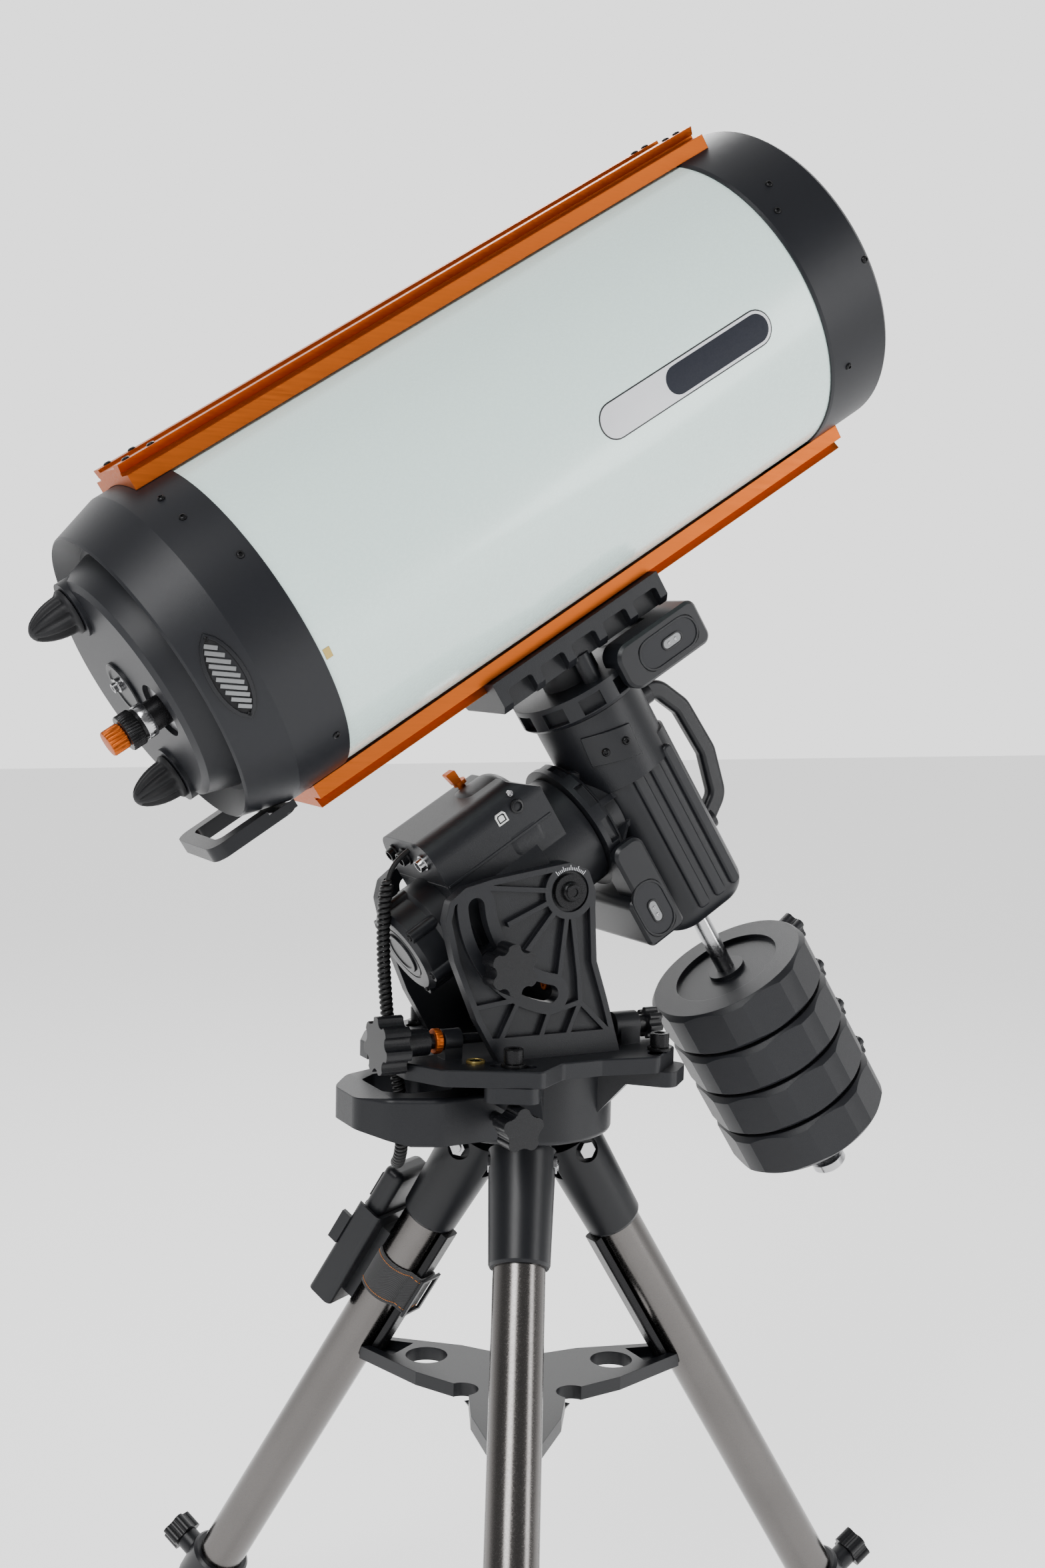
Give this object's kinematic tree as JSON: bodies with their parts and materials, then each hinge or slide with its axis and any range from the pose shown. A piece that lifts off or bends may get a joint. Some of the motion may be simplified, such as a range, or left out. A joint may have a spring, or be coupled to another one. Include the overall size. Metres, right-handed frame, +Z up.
{
  "type": "schmidt astrograph telescope on equatorial mount",
  "caption": "Schmidt astrograph with front-mounted lens group on a motor-driven German equatorial mount with counterweights and a tripod.",
  "frame": {"origin": "on the floor, at the middle of the whole object's box", "axes": "+Z up, +X level towards the celestial pole, +Y towards the declination axis's far side; tube and polar axis lie in the XZ plane, tilted 32.6 degrees above +X"},
  "size_m": [0.9958, 0.8768, 1.6933],
  "materials": {
    "cast_black": "fine textured satin black",
    "base_black": "fine textured satin black",
    "stainless": "brushed along the tube",
    "chrome": "polished",
    "black_plastic": "moulded, light grain",
    "knob_black": "moulded, light grain",
    "black_rubber": "matt",
    "bolt_black": "black oxide",
    "tube_white": "gloss enamel, very faint green",
    "orange_anodised": "orange anodised",
    "weight_iron": "powder coated black",
    "corrector_glass": "coated",
    "mirror_glass": "aluminised",
    "web_black": "woven webbing",
    "cord_black": "satin",
    "grey_case": "moulded, light grain"
  },
  "bodies": {
    "tripod": {"tripod_hub": "cast_black", "leg_sleeves": "black_plastic", "leg_pivot_bolts": "chrome", "upper_legs": "stainless", "leg_clamps": "black_plastic", "tray_struts": "bolt_black", "accessory_tray": "black_plastic", "azimuth_bolts": "bolt_black", "handset_holder": "black_plastic", "handset_strap": "web_black", "handset_cord": "cord_black"},
    "mount_base": {"azimuth_base": "base_black", "side_plate_near": "cast_black", "side_plate_far": "cast_black"},
    "latitude_head": {"ra_housing": "cast_black", "ra_end_cap": "black_plastic", "altitude_pivots": "bolt_black"},
    "ra_axis": {"dec_housing": "cast_black", "ra_motor_cover": "black_plastic", "carry_handle": "black_plastic", "counterweight_shaft": "chrome", "toe_saver": "chrome", "ra_shaft": "stainless"},
    "dec_axis": {"saddle": "cast_black", "dec_motor_cover": "black_plastic"},
    "ota": {"ota_tube": "tube_white", "front_ring": "cast_black", "corrector_plate": "corrector_glass", "lens_group": "black_plastic", "rear_cell": "cast_black", "focuser_base": "bolt_black", "dovetail_top": "orange_anodised", "dovetail_bottom": "orange_anodised", "cell_handle": "black_plastic"},
    "tray_knob": {"tray_knob": "knob_black"},
    "lower_leg_north": {"lower_leg_north": "stainless"},
    "lower_leg_left": {"lower_leg_left": "stainless"},
    "lower_leg_front": {"lower_leg_front": "stainless"},
    "leg_clamp_knob_north": {"leg_clamp_knob_north": "knob_black"},
    "leg_clamp_knob_left": {"leg_clamp_knob_left": "knob_black"},
    "leg_clamp_knob_front": {"leg_clamp_knob_front": "knob_black"},
    "hub_knob": {"hub_knob": "knob_black"},
    "hand_control": {"hand_control": "grey_case"},
    "azimuth_knob_south": {"azimuth_knob_south": "knob_black"},
    "azimuth_knob_north": {"azimuth_knob_north": "knob_black"},
    "altitude_knob_near": {"altitude_knob_near": "knob_black"},
    "altitude_knob_far": {"altitude_knob_far": "knob_black"},
    "ra_clutch_lever": {"ra_clutch_lever": "orange_anodised"},
    "counterweight_1": {"counterweight_1": "weight_iron"},
    "counterweight_2": {"counterweight_2": "weight_iron"},
    "counterweight_3": {"counterweight_3": "weight_iron"},
    "counterweight_4": {"counterweight_4": "weight_iron"},
    "saddle_jaw": {"saddle_jaw": "cast_black"},
    "saddle_knob_south": {"saddle_knob_south": "knob_black"},
    "saddle_knob_north": {"saddle_knob_north": "knob_black"},
    "primary_mirror": {"primary_mirror": "mirror_glass"},
    "coarse_focus_knob": {"coarse_focus_knob": "bolt_black"},
    "fine_focus_knob": {"fine_focus_knob": "orange_anodised"},
    "mirror_lock_upper": {"mirror_lock_upper": "black_rubber"},
    "mirror_lock_lower": {"mirror_lock_lower": "black_rubber"}
  },
  "joints": [
    {"name": "azimuth_turn", "type": "hinge", "parent": "tripod", "child": "mount_base", "pos_m": [-0.00498, 0.00839, 0.775], "axis": [0, 0, 1], "range_deg": [-7, 7]},
    {"name": "latitude_tilt", "type": "hinge", "parent": "mount_base", "child": "latitude_head", "pos_m": [-0.00498, 0.00839, 0.943], "axis": [0, -1, 0], "range_deg": [-8, 32.4], "deforming": ["handset_cord"]},
    {"name": "ra_turn", "type": "hinge", "parent": "latitude_head", "child": "ra_axis", "pos_m": [0.10742, 0.00839, 1.0367], "axis": [0.8425, 0, 0.5388], "range_deg": [-110, 110]},
    {"name": "dec_turn", "type": "hinge", "parent": "ra_axis", "child": "dec_axis", "pos_m": [0.10742, 0.00839, 1.0367], "axis": [-0.5388, 0, 0.8425], "range_deg": [-175, 175]},
    {"name": "ota_slide", "type": "slide", "parent": "dec_axis", "child": "ota", "axis": [0.8425, 0, 0.5388], "range_m": [-0.08, 0.08]},
    {"name": "azimuth_knob_south_turn", "type": "hinge", "parent": "mount_base", "child": "azimuth_knob_south", "pos_m": [-0.15498, -0.04161, 0.8], "axis": [1, 0, 0], "range_deg": [-720, 720]},
    {"name": "azimuth_knob_north_turn", "type": "hinge", "parent": "mount_base", "child": "azimuth_knob_north", "pos_m": [0.09502, -0.04161, 0.8], "axis": [1, 0, 0], "range_deg": [-720, 720]},
    {"name": "altitude_knob_near_turn", "type": "hinge", "parent": "latitude_head", "child": "altitude_knob_near", "pos_m": [-0.07929, -0.07961, 0.87609], "axis": [0, 1, 0], "range_deg": [-360, 360]},
    {"name": "altitude_knob_far_turn", "type": "hinge", "parent": "latitude_head", "child": "altitude_knob_far", "pos_m": [-0.07929, 0.09639, 0.87609], "axis": [0, 1, 0], "range_deg": [-360, 360]},
    {"name": "ra_clutch_turn", "type": "hinge", "parent": "latitude_head", "child": "ra_clutch_lever", "pos_m": [-0.07282, 0.03039, 1.04013], "axis": [-0.5388, 0, 0.8425], "range_deg": [-60, 60]},
    {"name": "saddle_jaw_slide", "type": "slide", "parent": "dec_axis", "child": "saddle_jaw", "axis": [0, 1, 0], "range_m": [0, 0.005]},
    {"name": "saddle_knob_south_turn", "type": "hinge", "parent": "dec_axis", "child": "saddle_knob_south", "pos_m": [-0.02555, 0.07839, 1.14811], "axis": [0, 1, 0], "range_deg": [-720, 720]},
    {"name": "saddle_knob_north_turn", "type": "hinge", "parent": "dec_axis", "child": "saddle_knob_north", "pos_m": [0.06206, 0.07839, 1.20414], "axis": [0, 1, 0], "range_deg": [-720, 720]},
    {"name": "counterweight_1_slide", "type": "slide", "parent": "ra_axis", "child": "counterweight_1", "axis": [-0.5388, 0, 0.8425], "range_m": [0, 0.06]},
    {"name": "counterweight_2_slide", "type": "slide", "parent": "ra_axis", "child": "counterweight_2", "axis": [-0.5388, 0, 0.8425], "range_m": [0, 0.06]},
    {"name": "counterweight_3_slide", "type": "slide", "parent": "ra_axis", "child": "counterweight_3", "axis": [-0.5388, 0, 0.8425], "range_m": [0, 0.06]},
    {"name": "counterweight_4_slide", "type": "slide", "parent": "ra_axis", "child": "counterweight_4", "axis": [-0.5388, 0, 0.8425], "range_m": [0, 0.06]},
    {"name": "coarse_focus_turn", "type": "hinge", "parent": "ota", "child": "coarse_focus_knob", "pos_m": [-0.42516, -0.05461, 1.09921], "axis": [0.8425, 0, 0.5388], "range_deg": [-720, 720]},
    {"name": "fine_focus_turn", "type": "hinge", "parent": "ota", "child": "fine_focus_knob", "pos_m": [-0.4378, -0.05461, 1.09113], "axis": [0.8425, 0, 0.5388], "range_deg": [-7200, 7200]},
    {"name": "mirror_focus_slide", "type": "slide", "parent": "ota", "child": "primary_mirror", "axis": [0.8425, 0, 0.5388], "range_m": [-0.0025, 0.0025]},
    {"name": "mirror_lock_upper_turn", "type": "hinge", "parent": "ota", "child": "mirror_lock_upper", "pos_m": [-0.46802, 0.01839, 1.19406], "axis": [0.8425, 0, 0.5388], "range_deg": [0, 180]},
    {"name": "mirror_lock_lower_turn", "type": "hinge", "parent": "ota", "child": "mirror_lock_lower", "pos_m": [-0.37427, 0.01839, 1.04747], "axis": [0.8425, 0, 0.5388], "range_deg": [0, 180]},
    {"name": "leg_north_slide", "type": "slide", "parent": "tripod", "child": "lower_leg_north", "axis": [0.528, 0.0184, -0.8491], "range_m": [0, 0.35]},
    {"name": "leg_clamp_knob_north_turn", "type": "hinge", "parent": "tripod", "child": "leg_clamp_knob_north", "pos_m": [0.4314, 0.02363, 0.1463], "axis": [-0.8485, -0.0296, -0.5283], "range_deg": [-360, 360]},
    {"name": "leg_left_slide", "type": "slide", "parent": "tripod", "child": "lower_leg_left", "axis": [-0.28, 0.448, -0.8491], "range_m": [0, 0.35]},
    {"name": "leg_clamp_knob_left_turn", "type": "hinge", "parent": "tripod", "child": "leg_clamp_knob_left", "pos_m": [-0.23637, 0.37869, 0.1463], "axis": [0.4499, -0.72, -0.5283], "range_deg": [-360, 360]},
    {"name": "leg_front_slide", "type": "slide", "parent": "tripod", "child": "lower_leg_front", "axis": [-0.248, -0.4665, -0.8491], "range_m": [0, 0.35]},
    {"name": "leg_clamp_knob_front_turn", "type": "hinge", "parent": "tripod", "child": "leg_clamp_knob_front", "pos_m": [-0.20997, -0.37715, 0.1463], "axis": [0.3986, 0.7497, -0.5283], "range_deg": [-360, 360]},
    {"name": "tray_knob_turn", "type": "hinge", "parent": "tripod", "child": "tray_knob", "pos_m": [-0.00498, 0.00839, 0.431], "axis": [0, 0, 1], "range_deg": [-720, 720]},
    {"name": "hub_knob_turn", "type": "hinge", "parent": "tripod", "child": "hub_knob", "pos_m": [-0.07498, -0.10361, 0.728], "axis": [0, 1, 0], "range_deg": [-360, 360]},
    {"name": "hand_control_lift", "type": "slide", "parent": "tripod", "child": "hand_control", "axis": [0.28, -0.448, 0.8491], "range_m": [0, 0.055]}
  ],
  "couplings": [
    {"joint": "counterweight_2_slide", "follows": "counterweight_1_slide", "ratio": 1},
    {"joint": "counterweight_3_slide", "follows": "counterweight_1_slide", "ratio": 1},
    {"joint": "counterweight_4_slide", "follows": "counterweight_1_slide", "ratio": 1},
    {"joint": "fine_focus_turn", "follows": "coarse_focus_turn", "ratio": 10},
    {"joint": "mirror_focus_slide", "follows": "coarse_focus_turn", "m_per_rad": 0.00019894}
  ]
}
